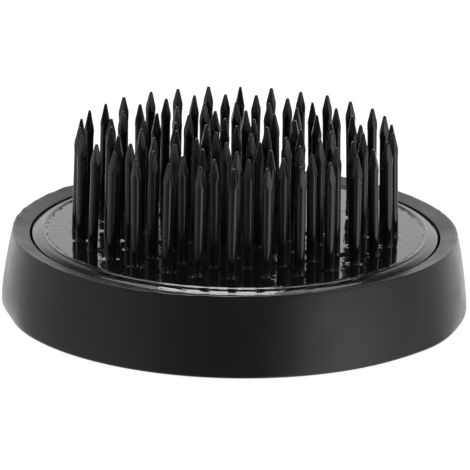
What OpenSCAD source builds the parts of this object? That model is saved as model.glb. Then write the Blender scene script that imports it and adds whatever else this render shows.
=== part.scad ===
// Flower frog (kenzan): a heavy round cast base set with rings of upright
// wire needles, sitting in a removable rubber ring.
// Millimetres, +Z up, origin at the centre of the rubber ring's underside.

/* [Cast base] */
// Diameter of the cast base
base_d = 66.6; // [56:0.2:84]
// Height of the cast base, from its underside to the flat top
base_h = 10.4; // [9:0.1:20]
// Width of the sloping shoulder around the top
shoulder_w = 1.8; // [1:0.1:3]
// How far the shoulder falls from the rim bead to its outer edge
shoulder_fall = 0.45; // [0.05:0.05:1]
// Bevel along the shoulder's outer edge
shoulder_bevel = 0.3; // [0.2:0.05:0.8]
// Height of the rim bead above the flat top
bead_h = 0.2; // [0.1:0.05:0.8]
// Width of the bevel around the underside
foot_bevel = 0.9; // [0.5:0.1:2]

/* [Needles] */
// Number of needle rings around the centre needle
ring_count = 5; // [1:1:5]
// Diameter of a needle
needle_d = 1.6; // [1:0.05:1.9]
// Length of a needle, from its foot in the casting to its tip
needle_len = 24.8; // [20:0.1:32]
// Depth of a needle in the cast base
needle_set = 7.2; // [4:0.1:8.5]
// Length of the four-sided point
point_len = 3.3; // [1:0.1:5]
// Width across the blunt end of the point
tip_w = 0.4; // [0.2:0.05:0.6]
// Clear strip between the outer needles and the rim bead
rim_strip = 5.4; // [3:0.1:8]
// How far the needles stray from their rings
stray = 0.15; // [0:0.05:0.35]
// How far the needles lean out of true, in degrees
lean = 0.8; // [0:0.1:1.5]
// How far the outermost needles lean in towards the middle, in degrees
lean_in = 1.5; // [-2:0.1:3]
// Gap between a needle and the casting, which the paint fills
needle_fit = 0.02; // [0.01:0.01:0.05]

/* [Rubber ring] */
// Wall of the rubber ring at its underside
ring_wall = 4.7; // [3.5:0.1:6]
// How far the outer wall curves in from the underside to the top
ring_draft = 1.9; // [0:0.1:2]
// Gap between the cast base and the rubber ring
ring_gap = 0.4; // [0.3:0.05:1]
// Thickness of the inner ledge that the cast base rests on
ledge_t = 2; // [1:0.1:4]
// Width of the inner ledge
ledge_w = 4; // [2:0.1:8]
// Bevel in the corner between the ledge and the ring's wall
ledge_bevel = 0.4; // [0.1:0.05:0.5]
// How far the ring's outer top edge stands above the casting's flat top
ring_rise = 0.35; // [0:0.05:1]
// How far the ring's top falls from that edge to the gap around the casting
lip_fall = 0.7; // [0.1:0.05:1]
// Bevel along the ring's outer top edge
top_bevel = 0.15; // [0.1:0.05:0.6]

/* [Hidden] */
SECTORS = 6;

// Number of sides for a revolved body and for a needle.
BODY_FN = 180;
NEEDLE_FN = 24;
// Overshoot of a cutting shape past the surface that it opens.
CUT = 1;
// Number of steps up the ring's curved wall, and the power of its curve: 1 is straight.
WALL_STEPS = 8;
WALL_CURVE = 1.7;

// Turn of each ring's first needle about the centre, in degrees.
ring_turn = [55, 21, 10.5, 6, 5.2];

base_r = base_d / 2;
needle_r = needle_d / 2;
bead_r = base_r - shoulder_w;
field_r = bead_r - rim_strip;
ring_step = field_r / ring_count;
top_z = ledge_t + base_h;
ring_inner_r = base_r + ring_gap;
ring_outer_r = ring_inner_r + ring_wall;
ledge_r = ring_inner_r - ledge_w;

// A repeatable number from -1 to 1 for needle k; each use has its own salt.
function scatter(k, salt) =
    let (wave = sin(k * 77.3 + salt * 41.9) * 53.7)
    2 * (wave - floor(wave)) - 1;

// The name of the node that holds one sixth of a ring.
function sector_name(ring, sector) = str("needles_ring", ring, "_sector", sector);

// Running number of a needle, counted outward from the centre needle, which is 0.
function needle_number(ring, i) = 3 * ring * (ring - 1) + 1 + i;

// Stands its children at needle i of a ring, with the needle's own stray, lean
// and turn. The children's origin is where the needle leaves the flat top.
module at_needle(ring, i) {
    k = needle_number(ring, i);
    angle = ring_turn[ring - 1] + 360 * i / (SECTORS * ring);
    rotate(angle)
        translate([ring * ring_step + stray * scatter(k, 1), stray * scatter(k, 2), top_z])
            rotate([0, -lean_in * ring / ring_count, 0])
                rotate([lean * scatter(k, 3), lean * scatter(k, 4), 90 * scatter(k, 5)])
                    children();
}

// A slab that pinches two opposite sides of a needle to its blunt end.
module point_slab() {
    tip_z = needle_len - needle_set;
    slope = point_len / (needle_r - tip_w / 2);
    side_x = needle_r + CUT;
    side_z = tip_z - point_len - CUT * slope;
    rotate([90, 0, 0])
        linear_extrude(2 * side_x, center = true)
            polygon([
                [-side_x, -needle_set - CUT],
                [side_x, -needle_set - CUT],
                [side_x, side_z],
                [tip_w / 2, tip_z],
                [-tip_w / 2, tip_z],
                [-side_x, side_z]
            ]);
}

// A length of wire with a square-cut foot and a point cut on four sides.
module needle() {
    intersection() {
        translate([0, 0, -needle_set])
            cylinder(h = needle_len, r = needle_r, $fn = NEEDLE_FN);
        point_slab();
        rotate(90) point_slab();
    }
}

// The blind socket around a needle in the casting: the foot stands on its floor.
module needle_socket() {
    translate([0, 0, -needle_set])
        cylinder(h = needle_set + CUT, r = needle_r + needle_fit, $fn = NEEDLE_FN);
}

// Half section of the casting: flat top, rim bead, sloping shoulder and bevelled foot.
module base_section() {
    rim_z = base_h + bead_h;
    edge_z = rim_z - shoulder_fall;
    polygon([
        [0, 0],
        [base_r - foot_bevel, 0],
        [base_r, foot_bevel],
        [base_r, edge_z - shoulder_bevel],
        [base_r - shoulder_bevel, edge_z],
        [bead_r, rim_z],
        [bead_r, base_h],
        [0, base_h]
    ]);
}

// The heavy casting, with a socket for every needle.
module cast_base() {
    color([0.05, 0.05, 0.05])
    difference() {
        translate([0, 0, ledge_t])
            rotate_extrude($fn = BODY_FN)
                base_section();
        translate([0, 0, top_z])
            needle_socket();
        for (ring = [1:ring_count], i = [0:SECTORS * ring - 1])
            at_needle(ring, i) needle_socket();
    }
}

// The upright needle in the middle.
module needle_centre() {
    color([0.1, 0.1, 0.1])
    translate([0, 0, top_z])
        needle();
}

// The needles in one sixth of a ring: as many as the ring's number.
module needle_sector(ring, sector) {
    color([0.1, 0.1, 0.1])
    for (i = [(sector - 1) * ring:sector * ring - 1])
        at_needle(ring, i) needle();
}

// Half section of the rubber ring: a wall that curves in as it rises, a top that
// slopes down inward, and an inner ledge under the casting.
module ring_section() {
    top_r = ring_outer_r - ring_draft;
    edge_z = top_z + ring_rise;
    wall_z = edge_z - top_bevel;
    wall = [for (i = [0:WALL_STEPS])
        [ring_outer_r - ring_draft * pow(i / WALL_STEPS, WALL_CURVE), wall_z * i / WALL_STEPS]];
    polygon(concat([[ledge_r, 0]], wall, [
        [top_r - top_bevel, edge_z],
        [ring_inner_r, edge_z - lip_fall],
        [ring_inner_r, ledge_t + ledge_bevel],
        [ring_inner_r - ledge_bevel, ledge_t],
        [ledge_r, ledge_t]
    ]));
}

// The soft ring that grips the casting and stands on the table.
module rubber_ring() {
    color([0.13, 0.13, 0.13])
    rotate_extrude($fn = BODY_FN)
        ring_section();
}

rubber_ring();
cast_base();
needle_centre();
for (ring = [1:ring_count], sector = [1:SECTORS])
    needle_sector(ring, sector);
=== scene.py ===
"""Flower frog: a black cast base full of pointed wire needles, in a black rubber ring.

The frame gives every size. Each visible piece is a surface worked out from it: the
rubber ring and the casting are turned sections, and a needle is a round wire that
narrows to four flat sides. Lengths are metres unless a name says otherwise.
"""

import math
import re

import bpy
import numpy as np
from bpy.props import FloatProperty, FloatVectorProperty, PointerProperty
from mathutils import Matrix, Vector


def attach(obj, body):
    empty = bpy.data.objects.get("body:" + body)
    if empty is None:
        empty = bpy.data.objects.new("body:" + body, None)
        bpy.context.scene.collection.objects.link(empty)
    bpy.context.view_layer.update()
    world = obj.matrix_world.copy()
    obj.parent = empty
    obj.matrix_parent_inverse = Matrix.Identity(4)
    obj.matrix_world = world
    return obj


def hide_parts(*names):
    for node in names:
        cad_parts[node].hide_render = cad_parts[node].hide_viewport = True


bl_info = {
    "name": "Flower frog",
    "version": (1, 0, 0),
    "blender": (4, 5, 0),
    "location": "View3D > Sidebar > Flower frog",
    "description": "Builds the rubber ring, casting, needles and studio of a flower frog",
    "category": "Object",
}

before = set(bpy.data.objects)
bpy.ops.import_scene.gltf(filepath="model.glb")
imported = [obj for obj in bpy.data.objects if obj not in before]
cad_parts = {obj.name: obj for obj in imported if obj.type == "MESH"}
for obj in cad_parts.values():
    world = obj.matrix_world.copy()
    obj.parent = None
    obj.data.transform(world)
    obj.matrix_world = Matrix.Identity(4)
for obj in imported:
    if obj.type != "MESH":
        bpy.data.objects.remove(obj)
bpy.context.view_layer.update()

MM = 0.001
TAU = 2 * math.pi

# Columns round the turned pieces.
TURN_COLUMNS = 480
# Uneven places round the rubber ring: turn and width in degrees, share of the full height.
TOP_WARPS = ((294, 26, 1.0), (238, 20, -0.8), (30, 25, -0.7))
FOOT_DENTS = ((196, 9, -1.0), (328, 9, 0.7))
# Powers of a needle's square section, and of its blend with the round wire.
SQUARENESS = 7
BLEND_SHARPNESS = 14


# ---------------------------------------------------------------------------
# Settings: what a user would change
# ---------------------------------------------------------------------------


class FrogRubberSettings(bpy.types.PropertyGroup):
    """Shape and finish of the rubber ring."""

    edge_radius: FloatProperty(
        name="Edge radius",
        description="Rounding of the ring's outer top edge",
        default=0.16 * MM, subtype="DISTANCE", unit="LENGTH",
    )
    foot_radius: FloatProperty(
        name="Foot radius",
        description="Rounding of the ring's outer bottom edge",
        default=0.45 * MM, subtype="DISTANCE", unit="LENGTH",
    )
    dent: FloatProperty(
        name="Dent",
        description="How far the soft foot is pressed in at one side and out at the other",
        default=0.6 * MM, subtype="DISTANCE", unit="LENGTH",
    )
    warp: FloatProperty(
        name="Warp",
        description="How far the outer top edge stands high or low at its warped places",
        default=0.28 * MM, subtype="DISTANCE", unit="LENGTH",
    )
    flash: FloatProperty(
        name="Flash",
        description="Height of the moulding flash left along the outer top edge",
        default=0.15 * MM, subtype="DISTANCE", unit="LENGTH",
    )
    sway: FloatProperty(
        name="Sway",
        description="How unevenly the soft wall stands",
        default=0.045 * MM, subtype="DISTANCE", unit="LENGTH",
    )
    colour: FloatVectorProperty(
        name="Rubber colour",
        description="Colour of the rubber",
        default=(0.0105, 0.0105, 0.0107), size=3, min=0, max=1, subtype="COLOR",
    )
    roughness: FloatProperty(
        name="Roughness",
        description="Roughness of the rubber's skin",
        default=0.3, min=0, max=1, subtype="FACTOR",
    )
    top_roughness: FloatProperty(
        name="Top roughness",
        description="How many times rougher the ring's top is than its wall",
        default=1.38, min=1, max=2,
    )


class FrogCastingSettings(bpy.types.PropertyGroup):
    """Shape and finish of the cast base."""

    ripple: FloatProperty(
        name="Ripple",
        description="Height of the ripples in the painted top",
        default=0.004 * MM, subtype="DISTANCE", unit="LENGTH",
    )
    meniscus: FloatProperty(
        name="Meniscus",
        description="Height that the paint climbs around each needle",
        default=0.1 * MM, subtype="DISTANCE", unit="LENGTH",
    )
    groove: FloatProperty(
        name="Groove",
        description="Depth of the groove just inside the rim bead",
        default=0.14 * MM, subtype="DISTANCE", unit="LENGTH",
    )
    colour: FloatVectorProperty(
        name="Paint colour",
        description="Colour of the black paint",
        default=(0.003, 0.003, 0.0031), size=3, min=0, max=1, subtype="COLOR",
    )
    roughness: FloatProperty(
        name="Roughness",
        description="Roughness of the paint",
        default=0.045, min=0, max=1, subtype="FACTOR",
    )


class FrogNeedleSettings(bpy.types.PropertyGroup):
    """Shape and finish of the needles."""

    collar: FloatProperty(
        name="Collar",
        description="Width of the paint that gathers at a needle's foot",
        default=0.1 * MM, subtype="DISTANCE", unit="LENGTH",
    )
    burr: FloatProperty(
        name="Burr",
        description="How far a needle swells where its point begins",
        default=0.055 * MM, subtype="DISTANCE", unit="LENGTH",
    )
    lip: FloatProperty(
        name="Lip",
        description="Height of the raised edge that the cut leaves around each flat side",
        default=0.05 * MM, subtype="DISTANCE", unit="LENGTH",
    )
    lumps: FloatProperty(
        name="Lumps",
        description="Unevenness of the paint along a needle",
        default=0.008 * MM, subtype="DISTANCE", unit="LENGTH",
    )
    colour: FloatVectorProperty(
        name="Needle colour",
        description="Colour of the needles' coating",
        default=(0.0035, 0.0035, 0.0036), size=3, min=0, max=1, subtype="COLOR",
    )
    roughness: FloatProperty(
        name="Roughness",
        description="Roughness of the needles' coating",
        default=0.24, min=0, max=1, subtype="FACTOR",
    )


class FrogStageSettings(bpy.types.PropertyGroup):
    """Camera, light and floor."""

    lens: FloatProperty(
        name="Lens",
        description="Focal length on a 36 mm sensor, in millimetres",
        default=236.6, min=20, max=400,
    )
    distance: FloatProperty(
        name="Distance",
        description="From the camera to the middle of the ring's foot",
        default=0.5116, subtype="DISTANCE", unit="LENGTH",
    )
    elevation: FloatProperty(
        name="Elevation",
        description="Height of the camera, as an angle seen from the ring's foot",
        default=math.radians(18.37), subtype="ANGLE", unit="ROTATION",
    )
    tilt: FloatProperty(
        name="Tilt",
        description="How far the camera looks down",
        default=math.radians(17.15), subtype="ANGLE", unit="ROTATION",
    )
    roll: FloatProperty(
        name="Roll",
        description="How far the camera leans over its view",
        default=math.radians(0.94), subtype="ANGLE", unit="ROTATION",
    )
    front_light: FloatProperty(
        name="Light in front",
        description="Brightness of the surroundings on the camera's side",
        default=0.2, min=0,
    )
    side_light: FloatProperty(
        name="Light at the sides",
        description="Brightness of the surroundings on the left and the right",
        default=0.72, min=0,
    )
    panel_light: FloatProperty(
        name="Light of the panel",
        description="Brightness of the bright panel at the front right",
        default=1.95, min=0,
    )
    rear_light: FloatProperty(
        name="Light low behind",
        description="Brightness of the surroundings behind, near the table",
        default=1.5, min=0,
    )
    back_light: FloatProperty(
        name="Light behind",
        description="Brightness of the surroundings behind, above the table",
        default=1.7, min=0,
    )
    top_light: FloatProperty(
        name="Light overhead",
        description="Brightness of the surroundings overhead",
        default=0.25, min=0,
    )
    floor_size: FloatProperty(
        name="Floor",
        description="Side of the pale floor",
        default=4.0, subtype="DISTANCE", unit="LENGTH",
    )


SETTINGS = {
    "frog_rubber": FrogRubberSettings,
    "frog_casting": FrogCastingSettings,
    "frog_needles": FrogNeedleSettings,
    "frog_stage": FrogStageSettings,
}


# ---------------------------------------------------------------------------
# Reading the frame
# ---------------------------------------------------------------------------


def corners_of(node):
    """All vertices of a frame node as an (n, 3) array."""
    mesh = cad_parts[node].data
    corners = np.empty(len(mesh.vertices) * 3, np.float32)
    mesh.vertices.foreach_get("co", corners)
    return corners.reshape(-1, 3).astype(float)


def triangles_of(node):
    """All triangles of a frame node as an (m, 3) array of vertex numbers."""
    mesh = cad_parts[node].data
    mesh.calc_loop_triangles()
    triangles = np.empty(len(mesh.loop_triangles) * 3, np.int32)
    mesh.loop_triangles.foreach_get("vertices", triangles)
    return triangles.reshape(-1, 3)


def section_of(node):
    """Distance from the axis and height of each vertex of a turned node."""
    corners = corners_of(node)
    return np.hypot(corners[:, 0], corners[:, 1]), corners[:, 2]


def solids_of(node):
    """The vertices of each separate solid of a node, as a list of arrays.

    Equal places are merged, then every vertex takes the lowest number among its
    triangles' vertices until nothing changes, so one number is left per solid.
    """
    corners = corners_of(node)
    _, place = np.unique(np.round(corners / (0.002 * MM)), axis=0, return_inverse=True)
    place = place.reshape(-1)
    triangles = place[triangles_of(node)]
    label = np.arange(place.max() + 1)
    while True:
        lowest = label[triangles].min(axis=1)
        new = label.copy()
        for side in range(3):
            np.minimum.at(new, triangles[:, side], lowest)
        if np.array_equal(new, label):
            break
        label = new
    return [corners[label[place] == one] for one in np.unique(label)]


def measure_needle(solid):
    """Foot, tip, turn and sizes of one needle solid.

    Foot and tip are the middles of its lowest and highest vertices. The turn is the
    direction from the tip's middle to a corner of its square end, and the point
    begins at the lowest vertex above the foot.
    """
    near = 0.1 * MM
    low = solid[solid[:, 2] < solid[:, 2].min() + near]
    high = solid[solid[:, 2] > solid[:, 2].max() - near]
    foot = np.unique(np.round(low, 8), axis=0).mean(0)
    end = np.unique(np.round(high, 8), axis=0)
    tip = end.mean(0)
    corner = end[0] - tip
    length = float(np.linalg.norm(tip - foot))
    climb = (solid - foot) @ (tip - foot) / length
    return {
        "foot": foot,
        "tip": tip,
        "turn": math.atan2(corner[1], corner[0]),
        "wire_r": float(np.linalg.norm(low - foot, axis=1).max()),
        "point_len": length - float(climb[climb > near].min()),
        "tip_half": float(np.linalg.norm(corner)) / math.sqrt(2),
    }


def needle_nodes():
    """Names of the frame nodes that hold needles."""
    return sorted(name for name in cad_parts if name.startswith("needle"))


NEEDLES = {node: [measure_needle(solid) for solid in solids_of(node)] for node in needle_nodes()}


def plateau_height():
    """Height of the casting's flat top, beside the centre needle."""
    radius, height = section_of("cast_base")
    return height[radius < 1.2 * MM].max()


# ---------------------------------------------------------------------------
# Surfaces
# ---------------------------------------------------------------------------


def rounded_outline(corners, radii, step, arc_points=7):
    """A closed outline of straight sides with rounded corners, as (n, 2) points.

    Each corner becomes an arc of its radius that touches both sides, and each side
    is divided into lengths of about one step.
    """
    corners = np.array(corners, float)
    count = len(corners)
    pieces = []
    ends = []
    for i in range(count):
        here = corners[i]
        back = corners[i - 1] - here
        on = corners[(i + 1) % count] - here
        back /= np.linalg.norm(back)
        on /= np.linalg.norm(on)
        half = math.acos(float(np.clip(back @ on, -1, 1))) / 2
        reach = radii[i] / math.tan(half)
        middle = here + (back + on) / np.linalg.norm(back + on) * radii[i] / math.sin(half)
        start = here + back * reach - middle
        stop = here + on * reach - middle
        sweep = math.atan2(start[0] * stop[1] - start[1] * stop[0], float(start @ stop))
        turn = np.linspace(0, sweep, arc_points)[:, None]
        normal = np.array([-start[1], start[0]])
        pieces.append(middle + np.cos(turn) * start + np.sin(turn) * normal)
        ends.append((pieces[-1][0], pieces[-1][-1]))
    outline = []
    for i in range(count):
        outline.append(pieces[i])
        leave, arrive = ends[i][1], ends[(i + 1) % count][0]
        parts = max(1, int(np.linalg.norm(arrive - leave) / step))
        outline.append(leave + np.linspace(0, 1, parts + 1)[1:-1, None] * (arrive - leave))
    return np.vstack(outline)


def ring_waves(seed, turns, heights, count=14, longest=6, rise=0.012):
    """Smooth unevenness from -1 to 1 on a turned surface, with no seam.

    A sum of sines with a whole number of waves round the axis and a random number
    of waves up the wall. heights are metres, rise is the shortest wave up the wall.
    """
    rng = np.random.default_rng(seed)
    total = np.zeros(np.broadcast(turns, heights).shape)
    for _ in range(count):
        around = rng.integers(1, longest + 1)
        up = rng.uniform(-1, 1) * TAU / rise
        total = total + np.sin(around * turns + up * heights + rng.uniform(0, TAU))
    return total / math.sqrt(count)


def plane_waves(seed, x, y, shortest, longest, count=24):
    """Smooth unevenness on a flat surface: sines in random directions, shortest to longest."""
    rng = np.random.default_rng(seed)
    total = np.zeros(np.broadcast(x, y).shape)
    for _ in range(count):
        heading = rng.uniform(0, TAU)
        number = TAU / rng.uniform(shortest, longest)
        along = x * math.cos(heading) + y * math.sin(heading)
        total = total + np.sin(number * along + rng.uniform(0, TAU))
    return total / math.sqrt(count)


def grid_faces(rows, columns, first=0, close_rows=False):
    """Quads of a grid whose columns close on themselves, and whose rows may too."""
    row_count = rows if close_rows else rows - 1
    row = np.arange(row_count)[:, None]
    column = np.arange(columns)[None, :]
    next_row = (row + 1) % rows
    next_column = (column + 1) % columns
    quads = np.stack([
        row * columns + column,
        row * columns + next_column,
        next_row * columns + next_column,
        next_row * columns + column,
    ], axis=-1)
    return quads.reshape(-1, 4) + first


def fan_faces(first_ring, columns, pole, flip):
    """Triangles from a pole to a ring of the grid."""
    column = np.arange(columns)
    ring = first_ring + column
    after = first_ring + (column + 1) % columns
    middle = np.full(columns, pole)
    order = [ring, middle, after] if flip else [ring, after, middle]
    return np.stack(order, axis=1)


def make_piece(name, points, quads, triangles, material):
    """A mesh object at the origin from points, quads and triangles, shaded smooth."""
    mesh = bpy.data.meshes.new(name)
    quads = np.asarray(quads, np.int32).reshape(-1, 4)
    triangles = np.asarray(triangles, np.int32).reshape(-1, 3)
    loops = np.concatenate([quads.ravel(), triangles.ravel()])
    sizes = np.concatenate([np.full(len(quads), 4), np.full(len(triangles), 3)])
    starts = np.concatenate([[0], np.cumsum(sizes)[:-1]])
    mesh.vertices.add(len(points))
    mesh.vertices.foreach_set("co", np.asarray(points, np.float32).ravel())
    mesh.loops.add(len(loops))
    mesh.loops.foreach_set("vertex_index", loops.astype(np.int32))
    mesh.polygons.add(len(sizes))
    mesh.polygons.foreach_set("loop_start", starts.astype(np.int32))
    mesh.polygons.foreach_set("use_smooth", np.ones(len(sizes), bool))
    mesh.update(calc_edges=True)
    mesh.validate()
    mesh.materials.append(material)
    piece = bpy.data.objects.new(name, mesh)
    bpy.context.scene.collection.objects.link(piece)
    return piece


def turned_points(radii, heights, turns):
    """Points of a turned surface: (r cos t, r sin t, z) for rows of r and z and columns t."""
    x = radii * np.cos(turns)
    y = radii * np.sin(turns)
    return np.stack(np.broadcast_arrays(x, y, heights), axis=-1)


# ---------------------------------------------------------------------------
# Finishes
# ---------------------------------------------------------------------------


def new_group(name, inputs, outputs):
    """An empty shader node group with named sockets: {name: (kind, default)} each way."""
    group = bpy.data.node_groups.new(name, "ShaderNodeTree")
    for label, (kind, default) in inputs.items():
        socket = group.interface.new_socket(name=label, in_out="INPUT", socket_type=kind)
        if default is not None:
            socket.default_value = default
    for label, kind in outputs.items():
        group.interface.new_socket(name=label, in_out="OUTPUT", socket_type=kind)
    start = group.nodes.new("NodeGroupInput")
    end = group.nodes.new("NodeGroupOutput")
    return group, start, end


def feed(tree, socket, value):
    """Set a socket to a value, or link it to another socket."""
    if isinstance(value, bpy.types.NodeSocket):
        tree.links.new(value, socket)
    else:
        socket.default_value = value


def add_node(tree, kind, settings=None, **inputs):
    """A node with its settings, and with each input, by name or _number, set or linked."""
    node = tree.nodes.new(kind)
    for key, value in (settings or {}).items():
        setattr(node, key, value)
    for key, value in inputs.items():
        numbered = re.fullmatch(r"_\d+", key)
        feed(tree, node.inputs[int(key[1:]) if numbered else key.replace("_", " ")], value)
    return node


def work_out(tree, operation, *values):
    """The result of a Math node on one or two values."""
    inputs = {f"_{number}": value for number, value in enumerate(values)}
    return add_node(tree, "ShaderNodeMath", {"operation": operation}, **inputs).outputs[0]


def scale_for(tree, size):
    """A texture's scale for a size in metres: 1 / size."""
    return work_out(tree, "DIVIDE", 1.0, size)


def grain_group():
    """Fine bumps over slow clouds: a height for Bump, and a mask that drifts over the surface."""
    name = "frog_grain"
    if name in bpy.data.node_groups:
        return bpy.data.node_groups[name]
    group, start, end = new_group(
        name,
        {
            "Vector": ("NodeSocketVector", None),
            "Grain size": ("NodeSocketFloat", 0.3 * MM),
            "Cloud size": ("NodeSocketFloat", 6 * MM),
        },
        {"Height": "NodeSocketFloat", "Clouds": "NodeSocketFloat"},
    )
    fine = add_node(
        group, "ShaderNodeTexNoise", None, Vector=start.outputs["Vector"],
        Scale=scale_for(group, start.outputs["Grain size"]), Detail=3.0, Roughness=0.55,
    )
    slow = add_node(
        group, "ShaderNodeTexNoise", None, Vector=start.outputs["Vector"],
        Scale=scale_for(group, start.outputs["Cloud size"]), Detail=2.0, Roughness=0.5,
    )
    group.links.new(fine.outputs[0], end.inputs["Height"])
    group.links.new(slow.outputs[0], end.inputs["Clouds"])
    return group


def specks_group():
    """Dust: a mask that is 1 on a few small specks of random size and 0 elsewhere."""
    name = "frog_specks"
    if name in bpy.data.node_groups:
        return bpy.data.node_groups[name]
    group, start, end = new_group(
        name,
        {
            "Vector": ("NodeSocketVector", None),
            "Spacing": ("NodeSocketFloat", 1.5 * MM),
            "Speck size": ("NodeSocketFloat", 0.06),
        },
        {"Mask": "NodeSocketFloat"},
    )
    cells = add_node(
        group, "ShaderNodeTexVoronoi", {"feature": "F1"},
        Vector=start.outputs["Vector"], Scale=scale_for(group, start.outputs["Spacing"]),
    )
    chance = add_node(group, "ShaderNodeSeparateColor", None, Color=cells.outputs["Color"])
    reach = work_out(group, "MULTIPLY", chance.outputs[0], start.outputs["Speck size"])
    inside = work_out(group, "LESS_THAN", cells.outputs["Distance"], reach)
    rare = work_out(group, "GREATER_THAN", chance.outputs[1], 0.6)
    group.links.new(work_out(group, "MULTIPLY", inside, rare), end.inputs["Mask"])
    return group


def place_group(tree, group, **inputs):
    """A group node in a tree, with its inputs set or linked."""
    return add_node(tree, "ShaderNodeGroup", {"node_tree": group}, **inputs)


def smooth_ramp(tree, value, low, high, start, stop):
    """A value that goes smoothly from start to stop as another goes from low to high."""
    return add_node(
        tree, "ShaderNodeMapRange", {"interpolation_type": "SMOOTHSTEP"},
        Value=value, From_Min=low, From_Max=high, To_Min=start, To_Max=stop,
    ).outputs[0]


def wander(tree, noise, middle, below, above):
    """A value that wanders from middle - below to middle + above as a noise goes 0.3 to 0.7."""
    return add_node(
        tree, "ShaderNodeMapRange", None,
        Value=noise, From_Min=0.3, From_Max=0.7, To_Min=middle - below, To_Max=middle + above,
    ).outputs[0]


def add_bump(tree, shader, height, strength, distance):
    """Bump a shader's surface by a height."""
    bump = add_node(
        tree, "ShaderNodeBump", None, Strength=strength, Distance=distance, Height=height,
    )
    tree.links.new(bump.outputs[0], shader.inputs["Normal"])


def start_material(name):
    """A new material with one Principled shader, and its Object coordinates."""
    material = bpy.data.materials.new(name)
    material.use_nodes = True
    tree = material.node_tree
    shader = tree.nodes["Principled BSDF"]
    place = add_node(tree, "ShaderNodeTexCoord")
    return material, tree, shader, place.outputs["Object"]


def add_colour(tree, shader, mask, low, high):
    """Give a shader a colour that goes from low to high with the mask."""
    node = tree.nodes.new("ShaderNodeMix")
    node.data_type = "RGBA"
    tree.links.new(mask, node.inputs[0])
    node.inputs[6].default_value = (*low, 1)
    node.inputs[7].default_value = (*high, 1)
    tree.links.new(node.outputs[2], shader.inputs["Base Color"])


def rubber_finish(settings, edge_r):
    """Black moulded rubber: a fine grain, faint clouds, a little dust, matt inside edge_r."""
    material, tree, shader, place = start_material("rubber_skin")
    grain = place_group(tree, grain_group(), Vector=place, Grain_size=0.22 * MM, Cloud_size=7 * MM)
    specks = place_group(tree, specks_group(), Vector=place, Spacing=2.2 * MM, Speck_size=0.035)
    dark = tuple(settings.colour)
    dusty = tuple(min(1.0, 6 * part) for part in settings.colour)
    add_colour(tree, shader, specks.outputs["Mask"], dark, dusty)
    rough = wander(tree, grain.outputs["Clouds"], settings.roughness, 0.05, 0.06)
    level = add_node(
        tree, "ShaderNodeVectorMath", {"operation": "MULTIPLY"}, _0=place, _1=(1, 1, 0),
    ).outputs[0]
    from_axis = add_node(
        tree, "ShaderNodeVectorMath", {"operation": "LENGTH"}, _0=level,
    ).outputs["Value"]
    times = smooth_ramp(
        tree, from_axis, edge_r - 0.6 * MM, edge_r - 0.1 * MM, settings.top_roughness, 1.0,
    )
    tree.links.new(work_out(tree, "MULTIPLY", rough, times), shader.inputs["Roughness"])
    add_bump(tree, shader, grain.outputs["Height"], strength=0.25, distance=0.02 * MM)
    shader.inputs["IOR"].default_value = 1.47
    return material


def casting_finish(settings):
    """Gloss black paint over a casting: orange peel, a wandering gloss and specks of dust."""
    material, tree, shader, place = start_material("casting_paint")
    peel = place_group(tree, grain_group(), Vector=place, Grain_size=1.1 * MM, Cloud_size=5 * MM)
    specks = place_group(tree, specks_group(), Vector=place, Spacing=1.7 * MM, Speck_size=0.04)
    dark = tuple(settings.colour)
    dusty = tuple(min(1.0, 14 * part) for part in settings.colour)
    add_colour(tree, shader, specks.outputs["Mask"], dark, dusty)
    rough = wander(tree, peel.outputs["Clouds"], settings.roughness, 0.015, 0.03)
    tree.links.new(rough, shader.inputs["Roughness"])
    add_bump(tree, shader, peel.outputs["Height"], strength=0.6, distance=0.04 * MM)
    shader.inputs["IOR"].default_value = 1.5
    return material


def needle_finish(settings):
    """Satin black coating on drawn wire, with fine bumps, glossy where the feet were dipped."""
    material, tree, shader, place = start_material("needle_coating")
    peel = place_group(tree, grain_group(), Vector=place, Grain_size=0.5 * MM, Cloud_size=2.5 * MM)
    rough = wander(tree, peel.outputs["Clouds"], settings.roughness, 0.05, 0.07)
    height = add_node(tree, "ShaderNodeSeparateXYZ", None, Vector=place).outputs[2]
    plateau = plateau_height()
    times = smooth_ramp(tree, height, plateau + 1 * MM, plateau + 6 * MM, 0.2, 1.0)
    tree.links.new(work_out(tree, "MULTIPLY", rough, times), shader.inputs["Roughness"])
    dark = tuple(settings.colour)
    faded = tuple(1.6 * part for part in settings.colour)
    add_colour(tree, shader, peel.outputs["Clouds"], dark, faded)
    add_bump(tree, shader, peel.outputs["Height"], strength=0.3, distance=0.015 * MM)
    shader.inputs["IOR"].default_value = 1.6
    return material


# ---------------------------------------------------------------------------
# Pieces
# ---------------------------------------------------------------------------


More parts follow.
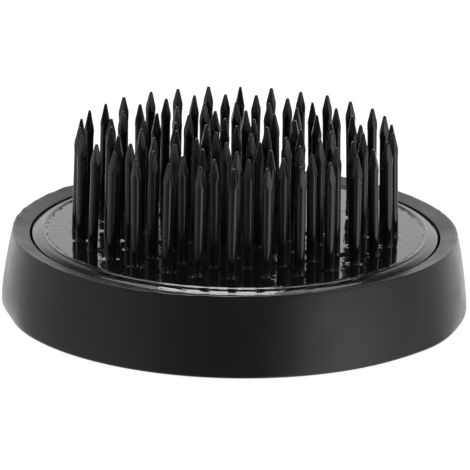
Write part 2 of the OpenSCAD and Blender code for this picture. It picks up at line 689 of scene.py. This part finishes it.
class FROG_OT_rubber_ring(bpy.types.Operator):
    """Build the rubber ring as a turned section with a soft, slightly uneven wall"""

    bl_idname = "frog.rubber_ring"
    bl_label = "Rubber ring"

    def execute(self, context):
        settings = context.scene.frog_rubber
        radius, height = section_of("rubber_ring")
        top = height.max()
        low = height < 0.05 * MM
        foot_r = radius[low].max()
        ledge_r = radius[low].min()
        mouth_r = radius[height > 0.8 * top].min()
        mouth_z = height[radius < mouth_r + 0.02 * MM].max()
        outside = radius > mouth_r + 0.1 * MM
        wall_top = height[outside & (height < top - 0.05 * MM)].max()
        edge_r = radius[outside & (height > wall_top - 0.02 * MM)].max()
        ledge_top = height[(radius < ledge_r + 0.05 * MM) & ~low].max()
        middle_r = radius[outside & (np.abs(height - wall_top / 2) < 0.1 * MM)].max()
        curve = math.log((foot_r - middle_r) / (foot_r - edge_r)) / math.log(0.5)
        outer = {"foot_r": foot_r, "edge_r": edge_r, "edge_z": top, "curve": curve}
        inner = {"mouth_r": mouth_r, "mouth_z": mouth_z, "ledge_r": ledge_r, "ledge_top": ledge_top}
        points = self.surface(settings, outer, inner)
        rows, columns = points.shape[:2]
        ring = make_piece(
            "rubber_ring_skin", points.reshape(-1, 3),
            grid_faces(rows, columns, close_rows=True), [], rubber_finish(settings, edge_r),
        )
        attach(ring, "ring")
        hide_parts("rubber_ring")
        return {"FINISHED"}

    def surface(self, settings, outer, inner):
        """Rows follow the ring's section and columns go round the axis.

        The section has rounded corners and a top that slopes down inward. Its outer
        wall curves in as a power of its height, sways with slow waves, and carries a
        thin uneven flash at its top edge. The foot has a shallow dent at one side and
        a swelling at the other, and the top edge stands high or low at three places:
        Gaussians in the turn, which die out up the wall or toward the mouth.
        """
        foot_r, edge_r, edge_z = outer["foot_r"], outer["edge_r"], outer["edge_z"]
        mouth_r, ledge_r, ledge_top = inner["mouth_r"], inner["ledge_r"], inner["ledge_top"]
        under_radius = 0.25 * MM
        mouth_radius = 0.12 * MM
        ledge_radius = 0.3 * MM
        section = rounded_outline(
            [
                (ledge_r, 0), (foot_r, 0), (edge_r, edge_z),
                (mouth_r, inner["mouth_z"]), (mouth_r, ledge_top), (ledge_r, ledge_top),
            ],
            [
                under_radius, settings.foot_radius, settings.edge_radius,
                mouth_radius, ledge_radius, ledge_radius,
            ],
            step=0.6 * MM,
        )
        turns = np.linspace(0, TAU, TURN_COLUMNS, endpoint=False)[None, :]
        radii = section[:, :1].copy()
        heights = section[:, 1:].copy()
        climb = np.clip(heights / edge_z, 0, 1)
        outside = np.clip((radii - edge_r + 1.2 * MM) / (0.5 * MM), 0, 1)
        lip = np.clip((radii - mouth_r) / (edge_r - mouth_r), 0, 1) * climb

        def hill(place, width):
            away = (turns - math.radians(place) + math.pi) % TAU - math.pi
            return np.exp(-(away / math.radians(width)) ** 2)

        for place, width, share in TOP_WARPS:
            heights = heights + lip * share * settings.warp * hill(place, width)
        radii = radii + outside * (foot_r - edge_r) * (climb - climb ** outer["curve"])
        dent_height = 2.5 * MM
        low = outside * np.exp(-heights / dent_height)
        for place, width, share in FOOT_DENTS:
            radii = radii + low * share * settings.dent * hill(place, width)
        sway = settings.sway * ring_waves(11, turns, heights, longest=9)
        radii = radii + outside * np.sin(math.pi * climb) ** 0.5 * sway
        flash_width = 0.35 * MM
        near_edge = np.exp(-((radii - edge_r) ** 2 + (heights - edge_z) ** 2) / flash_width ** 2)
        tatter = np.clip(ring_waves(23, turns, 0 * heights, count=40, longest=70), 0, 2)
        heights = heights + near_edge * settings.flash * tatter * 0.5
        tremble = 0.03 * MM
        slow_waves = ring_waves(31, turns, 0 * heights, count=6, longest=4)
        heights = heights + climb * (heights > ledge_top) * tremble * slow_waves
        return turned_points(radii, heights, turns)


class FROG_OT_casting(bpy.types.Operator):
    """Build the painted casting: rippled top, groove, rim bead, shoulder and foot"""

    bl_idname = "frog.casting"
    bl_label = "Casting"

    def execute(self, context):
        settings = context.scene.frog_casting
        radius, height = section_of("cast_base")
        under = height.min()
        crest = height.max()
        base_r = radius.max()
        plateau = plateau_height()
        slope_r = radius[(radius < base_r - 0.2 * MM) & (height > (under + plateau) / 2)].max()
        sizes = {
            "under": under,
            "foot_r": radius[height < under + 0.02 * MM].max(),
            "base_r": base_r,
            "slope_z": height[np.abs(radius - slope_r) < 0.02 * MM].max(),
            "crest": crest,
            "bead_r": radius[height > crest - 0.02 * MM].max(),
            "plateau": plateau,
        }
        needles = [needle for node in NEEDLES.values() for needle in node]
        foot = np.array([needle["foot"] for needle in needles])
        tip = np.array([needle["tip"] for needle in needles])
        exits = foot + (tip - foot) * ((plateau - foot[:, 2]) / (tip[:, 2] - foot[:, 2]))[:, None]
        points = self.surface(settings, sizes, exits, needles[0]["wire_r"])
        rows, columns = points.shape[:2]
        flat = points.reshape(-1, 3)
        poles = np.array([[0, 0, plateau], [0, 0, under]])
        count = len(flat)
        triangles = np.vstack([
            fan_faces(0, columns, count, flip=True),
            fan_faces((rows - 1) * columns, columns, count + 1, flip=False),
        ])
        quads = grid_faces(rows, columns)[:, ::-1]
        casting = make_piece(
            "cast_base_painted", np.vstack([flat, poles]), quads, triangles[:, ::-1],
            casting_finish(settings),
        )
        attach(casting, "frog")
        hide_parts("cast_base")
        return {"FINISHED"}

    def surface(self, settings, sizes, exits, wire_r):
        """Rows run from the middle of the top over the shoulder to the underside.

        The flat top has ripples (random sines), a groove just inside the bead (a dip
        of Gaussian section, broken by lumps of paint) and a meniscus at each needle,
        which falls off exponentially. The bead rises as a quarter sine and drops to
        the shoulder as a Gaussian. The shoulder falls as a power of the way across it
        and ends in a quarter sine.
        """
        under, foot_r, base_r = sizes["under"], sizes["foot_r"], sizes["base_r"]
        bead_r, crest, plateau = sizes["bead_r"], sizes["crest"], sizes["plateau"]
        step = 0.34 * MM
        fine_strip = 1.6 * MM
        bead = 0.4 * MM
        sink = 0.17 * MM
        edge = 0.12 * MM
        fall_power = 2.2
        flat_r = np.arange(0.5 * MM, bead_r - fine_strip, step)
        strip_r = np.linspace(bead_r - fine_strip, bead_r - bead, 21)
        crest_turn = np.linspace(math.pi, math.pi / 2, 8)[1:]
        outer_turn = np.linspace(math.pi / 2, 0, 8)[2:]
        slope = np.linspace(bead_r, base_r - edge, 19)[1:]
        across = (slope - bead_r) / (base_r - edge - bead_r)
        flank_width = 0.25 * MM
        flank = 1 - np.exp(-((slope - bead_r) / flank_width) ** 2)
        slope_height = crest - sink * flank - (crest - sizes["slope_z"]) * across ** fall_power
        curb = slope_height[-1] - edge
        wall_z = np.linspace(curb, under + base_r - foot_r, 14)[1:]
        under_r = np.linspace(foot_r, 1 * MM, 12)
        radii = np.concatenate([
            flat_r, strip_r,
            bead_r + bead * np.cos(crest_turn),
            slope,
            base_r - edge + edge * np.cos(outer_turn),
            np.full(len(wall_z), base_r), under_r,
        ])
        heights = np.concatenate([
            np.full(len(flat_r) + len(strip_r), plateau),
            plateau + (crest - plateau) * np.sin(crest_turn),
            slope_height,
            curb + edge * np.sin(outer_turn),
            wall_z, np.full(len(under_r), under),
        ])
        turns = np.linspace(0, TAU, TURN_COLUMNS, endpoint=False)[None, :]
        radii = radii[:, None]
        heights = heights[:, None]
        x = radii * np.cos(turns)
        y = radii * np.sin(turns)
        on_top = (np.arange(len(radii)) < len(flat_r) + len(strip_r))[:, None]
        ripple = settings.ripple * plane_waves(5, x, y, 1.6 * MM, 6 * MM)
        lumps = 0.5 + 0.5 * np.clip(ring_waves(41, turns, 0 * heights, count=50, longest=90), -1, 1)
        groove_width = 0.2 * MM
        groove_r = bead_r - 0.6 * MM + 0.08 * MM * ring_waves(43, turns, 0 * heights, longest=11)
        groove = settings.groove * lumps * np.exp(-((radii - groove_r) / groove_width) ** 2)
        reach = np.hypot(x[..., None] - exits[:, 0], y[..., None] - exits[:, 1])
        gap = np.clip(reach - wire_r, 0, None)
        paint_reach = 0.22 * MM
        paint = settings.meniscus * np.exp(-gap / paint_reach).max(axis=-1)
        heights = heights + on_top * (ripple - groove + paint)
        soft = 0.02 * MM * ring_waves(47, turns, heights, count=10, longest=12, rise=0.004)
        swell_width = 0.8 * MM
        swell = np.exp(-((radii - bead_r) / swell_width) ** 2) * (heights > plateau)
        heights = heights + swell * soft
        return turned_points(radii, heights, turns)


class FROG_OT_needles(bpy.types.Operator):
    """Build every needle along its own axis: paint collar, shank, burr and four-sided point"""

    bl_idname = "frog.needles"
    bl_label = "Needles"

    def execute(self, context):
        settings = context.scene.frog_needles
        finish = needle_finish(settings)
        plateau = plateau_height()
        for number, (node, needles) in enumerate(NEEDLES.items()):
            points, quads, triangles = [], [], []
            first = 0
            for count, needle in enumerate(needles):
                rows = self.surface(settings, needle, plateau, 100 * number + count)
                grid = rows.reshape(-1, 3)
                ends = np.array([rows[0].mean(0), rows[-1].mean(0)])
                pole = first + len(grid)
                points.extend([grid, ends])
                quads.append(grid_faces(rows.shape[0], rows.shape[1], first))
                triangles.append(fan_faces(first, rows.shape[1], pole, flip=True))
                last = first + (rows.shape[0] - 1) * rows.shape[1]
                triangles.append(fan_faces(last, rows.shape[1], pole + 1, flip=False))
                first = pole + 2
            piece = make_piece(
                node + "_coated", np.vstack(points), np.vstack(quads), np.vstack(triangles), finish,
            )
            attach(piece, "frog")
            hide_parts(node)
        return {"FINISHED"}

    def surface(self, settings, needle, plateau, seed):
        """Rows climb the needle and columns go round it.

        The section is the smaller of a circle and a square with rounded corners, with
        a raised lip where the two cross. The square is wider than the circle up to the
        burr and then narrows to the blunt tip. A collar of paint spreads at the foot
        as an exponential of the height.
        """
        rng = np.random.default_rng(seed)
        foot, tip, turn = needle["foot"], needle["tip"], needle["turn"]
        wire_r, point_len, tip_half = needle["wire_r"], needle["point_len"], needle["tip_half"]
        length = float(np.linalg.norm(tip - foot))
        axis = (tip - foot) / length
        exit_z = (plateau - foot[2]) / axis[2]
        point_z = length - point_len
        rows = np.concatenate([
            [0, exit_z - 0.7 * MM],
            exit_z + MM * np.array([-0.3, -0.1, 0, 0.08, 0.18, 0.3, 0.5, 0.8, 1.3]),
            np.linspace(exit_z + 3 * MM, point_z - 2 * MM, 5),
            point_z + MM * np.array([-1.2, -0.6, -0.3, -0.1, 0.1, 0.35, 0.7]),
            np.linspace(point_z + 1.1 * MM, length - 0.06 * MM, 6),
            [length - 0.02 * MM, length],
        ])[:, None]
        corner = np.radians([0, 4, 9, 17, 29, 45, 61, 73, 81, 86])
        turns = np.concatenate([corner + quarter * math.pi / 2 for quarter in range(4)])[None, :]
        past = np.clip((rows - point_z) / point_len, -0.5, 1)
        half = wire_r + (tip_half - wire_r) * past
        across = turns - math.pi / 4
        stretch = np.abs(np.cos(across)) ** SQUARENESS + np.abs(np.sin(across)) ** SQUARENESS
        square = half / stretch ** (1 / SQUARENESS)
        burr_length = 0.7 * MM
        burr = settings.burr * np.exp(-((rows - point_z - 0.1 * MM) / burr_length) ** 2)
        start = rng.uniform(0, TAU)
        climb = rng.uniform(1.5, 3) * MM
        lumps = settings.lumps * np.sin(turns + start + rows / climb)
        circle = wire_r + burr + lumps
        radii = (circle ** -BLEND_SHARPNESS + square ** -BLEND_SHARPNESS) ** (-1 / BLEND_SHARPNESS)
        lip_width = 0.07 * MM
        lip = np.exp(-((square - circle) / lip_width) ** 2) * (past > -0.2)
        radii = radii + settings.lip * lip
        above = np.clip(rows - exit_z, 0, None)
        lean = 0.35 * np.sin(turns + rng.uniform(0, TAU))
        squash = 0.2 * np.sin(2 * turns + rng.uniform(0, TAU))
        collar_height = 0.2 * MM
        collar = settings.collar * (1 + lean + squash) * np.exp(-above / collar_height)
        radii = radii + collar * (rows > exit_z - 0.5 * MM)
        blunt = np.clip((length - rows) / (0.1 * MM), 0, 1)
        radii = radii * (0.55 + 0.45 * np.sqrt(blunt))
        side = np.array([math.cos(turn), math.sin(turn), 0])
        side -= axis * (side @ axis)
        side /= np.linalg.norm(side)
        other = np.cross(axis, side)
        around = np.cos(turns)[..., None] * side + np.sin(turns)[..., None] * other
        return foot + rows[..., None] * axis + radii[..., None] * around


# ---------------------------------------------------------------------------
# Stage
# ---------------------------------------------------------------------------


class FROG_OT_stage(bpy.types.Operator):
    """Set the pale floor, the soft surroundings, the lamps and the camera"""

    bl_idname = "frog.stage"
    bl_label = "Stage"

    def execute(self, context):
        settings = context.scene.frog_stage
        self.floor(settings)
        self.surroundings(context, settings)
        self.lamps()
        self.camera(context, settings)
        context.scene.view_settings.view_transform = "Standard"
        context.scene.view_settings.look = "None"
        return {"FINISHED"}

    def floor(self, settings):
        """A flat pale sheet that keeps a faint soft shadow and takes no part in reflections."""
        half = settings.floor_size / 2
        points = [(-half, -half, 0), (half, -half, 0), (half, half, 0), (-half, half, 0)]
        material = bpy.data.materials.new("pale_floor")
        material.use_nodes = True
        shader = material.node_tree.nodes["Principled BSDF"]
        shader.inputs["Base Color"].default_value = (0.16, 0.16, 0.16, 1)
        shader.inputs["Roughness"].default_value = 1.0
        shader.inputs["Specular IOR Level"].default_value = 0.0
        shader.inputs["Emission Color"].default_value = (1, 1, 1, 1)
        shader.inputs["Emission Strength"].default_value = 0.93
        floor = make_piece("floor", points, [(0, 1, 2, 3)], [], material)
        floor.visible_glossy = False
        floor.visible_diffuse = False
        floor.visible_shadow = False

    def surroundings(self, context, settings):
        """Light from all round, white to the eye.

        Near the table the brightness follows the heading from the front: dark in
        front, a bright panel at the front right, even sides and a bright back. Above
        the table the back spreads further, and overhead is one brightness. All steps
        are smooth.
        """
        world = bpy.data.worlds.new("studio")
        context.scene.world = world
        world.use_nodes = True
        tree = world.node_tree
        tree.nodes.clear()
        place = add_node(tree, "ShaderNodeTexCoord")
        split = add_node(tree, "ShaderNodeSeparateXYZ", None, Vector=place.outputs["Generated"])
        along_x, along_y, along_z = split.outputs

        def mix(factor, first, second):
            node = tree.nodes.new("ShaderNodeMix")
            node.data_type = "FLOAT"
            sockets = (node.inputs[0], node.inputs[2], node.inputs[3])
            for socket, value in zip(sockets, (factor, first, second)):
                feed(tree, socket, value)
            return node.outputs[0]

        toward = work_out(tree, "MULTIPLY", along_y, -1.0)
        heading = work_out(tree, "ARCTAN2", along_x, toward)
        away = work_out(tree, "ABSOLUTE", heading)

        def turn(value, start, stop):
            return smooth_ramp(tree, value, math.radians(start), math.radians(stop), 0, 1)

        level = mix(turn(heading, -62, -16), settings.side_light, settings.front_light)
        level = mix(turn(heading, 22, 44), level, settings.panel_light)
        level = mix(turn(heading, 55, 98), level, settings.side_light)
        level = mix(turn(away, 118, 150), level, settings.rear_light)
        behind = smooth_ramp(tree, along_y, -0.2, 0.8, 0, 1)
        upper = mix(behind, settings.front_light, settings.back_light)
        total = mix(smooth_ramp(tree, along_z, 0.1, 0.35, 0, 1), level, upper)
        total = mix(smooth_ramp(tree, along_z, 0.35, 0.65, 0, 1), total, settings.top_light)
        seen = add_node(tree, "ShaderNodeLightPath").outputs["Is Camera Ray"]
        strength = mix(seen, total, 1.1)
        background = add_node(tree, "ShaderNodeBackground", None, Strength=strength)
        output = tree.nodes.new("ShaderNodeOutputWorld")
        tree.links.new(background.outputs[0], output.inputs[0])

    def lamps(self):
        """A softbox above, a little behind and to the left, under a wider and dimmer one."""
        boxes = {
            "softbox_above": ((-0.06, 0.24, 0.95), 0.38, 0.75, 6.3),
            "softbox_wide": ((-0.06, 0.24, 0.96), 1.1, 0.75, 6.5),
        }
        for name, (place, width, depth, power) in boxes.items():
            lamp = bpy.data.lights.new(name, "AREA")
            lamp.shape = "RECTANGLE"
            lamp.size = width
            lamp.size_y = depth
            lamp.energy = power
            holder = bpy.data.objects.new(name, lamp)
            bpy.context.scene.collection.objects.link(holder)
            holder.matrix_world = Matrix.Translation(place)

    def camera(self, context, settings):
        """A long lens in front of the object, looking slightly down from a set distance."""
        lens = bpy.data.cameras.new("camera")
        lens.lens = settings.lens
        lens.sensor_width = 36
        lens.clip_start = 0.01
        holder = bpy.data.objects.new("camera", lens)
        context.scene.collection.objects.link(holder)
        outward = Vector((0, -math.cos(settings.elevation), math.sin(settings.elevation)))
        place = settings.distance * outward
        view = Vector((0, math.cos(settings.tilt), -math.sin(settings.tilt)))
        right = view.cross(Vector((0, 0, 1))).normalized()
        up = right.cross(view)
        leaned_right = right * math.cos(settings.roll) + up * math.sin(settings.roll)
        leaned_up = up * math.cos(settings.roll) - right * math.sin(settings.roll)
        turn = Matrix((leaned_right, leaned_up, -view)).transposed()
        holder.matrix_world = Matrix.Translation(place) @ turn.to_4x4()
        context.scene.camera = holder


# ---------------------------------------------------------------------------
# Panel, registration and the run
# ---------------------------------------------------------------------------

STEPS = (FROG_OT_rubber_ring, FROG_OT_casting, FROG_OT_needles, FROG_OT_stage)


class FROG_PT_panel(bpy.types.Panel):
    """The frog's steps, one button each, over their settings"""

    bl_label = "Flower frog"
    bl_idname = "FROG_PT_panel"
    bl_space_type = "VIEW_3D"
    bl_region_type = "UI"
    bl_category = "Flower frog"

    def draw(self, context):
        for step, group in zip(STEPS, SETTINGS):
            box = self.layout.box()
            box.operator(step.bl_idname)
            for name in SETTINGS[group].__annotations__:
                box.prop(getattr(context.scene, group), name)


def register():
    """Register the settings, the steps and the panel."""
    for group, kind in SETTINGS.items():
        bpy.utils.register_class(kind)
        setattr(bpy.types.Scene, group, PointerProperty(type=kind))
    for kind in (*STEPS, FROG_PT_panel):
        bpy.utils.register_class(kind)


def unregister():
    """Undo register."""
    for kind in reversed((*STEPS, FROG_PT_panel)):
        bpy.utils.unregister_class(kind)
    for group, kind in SETTINGS.items():
        delattr(bpy.types.Scene, group)
        bpy.utils.unregister_class(kind)


def main():
    register()
    bpy.ops.frog.rubber_ring()
    bpy.ops.frog.casting()
    bpy.ops.frog.needles()
    bpy.ops.frog.stage()


if __name__ == "__main__":
    main()
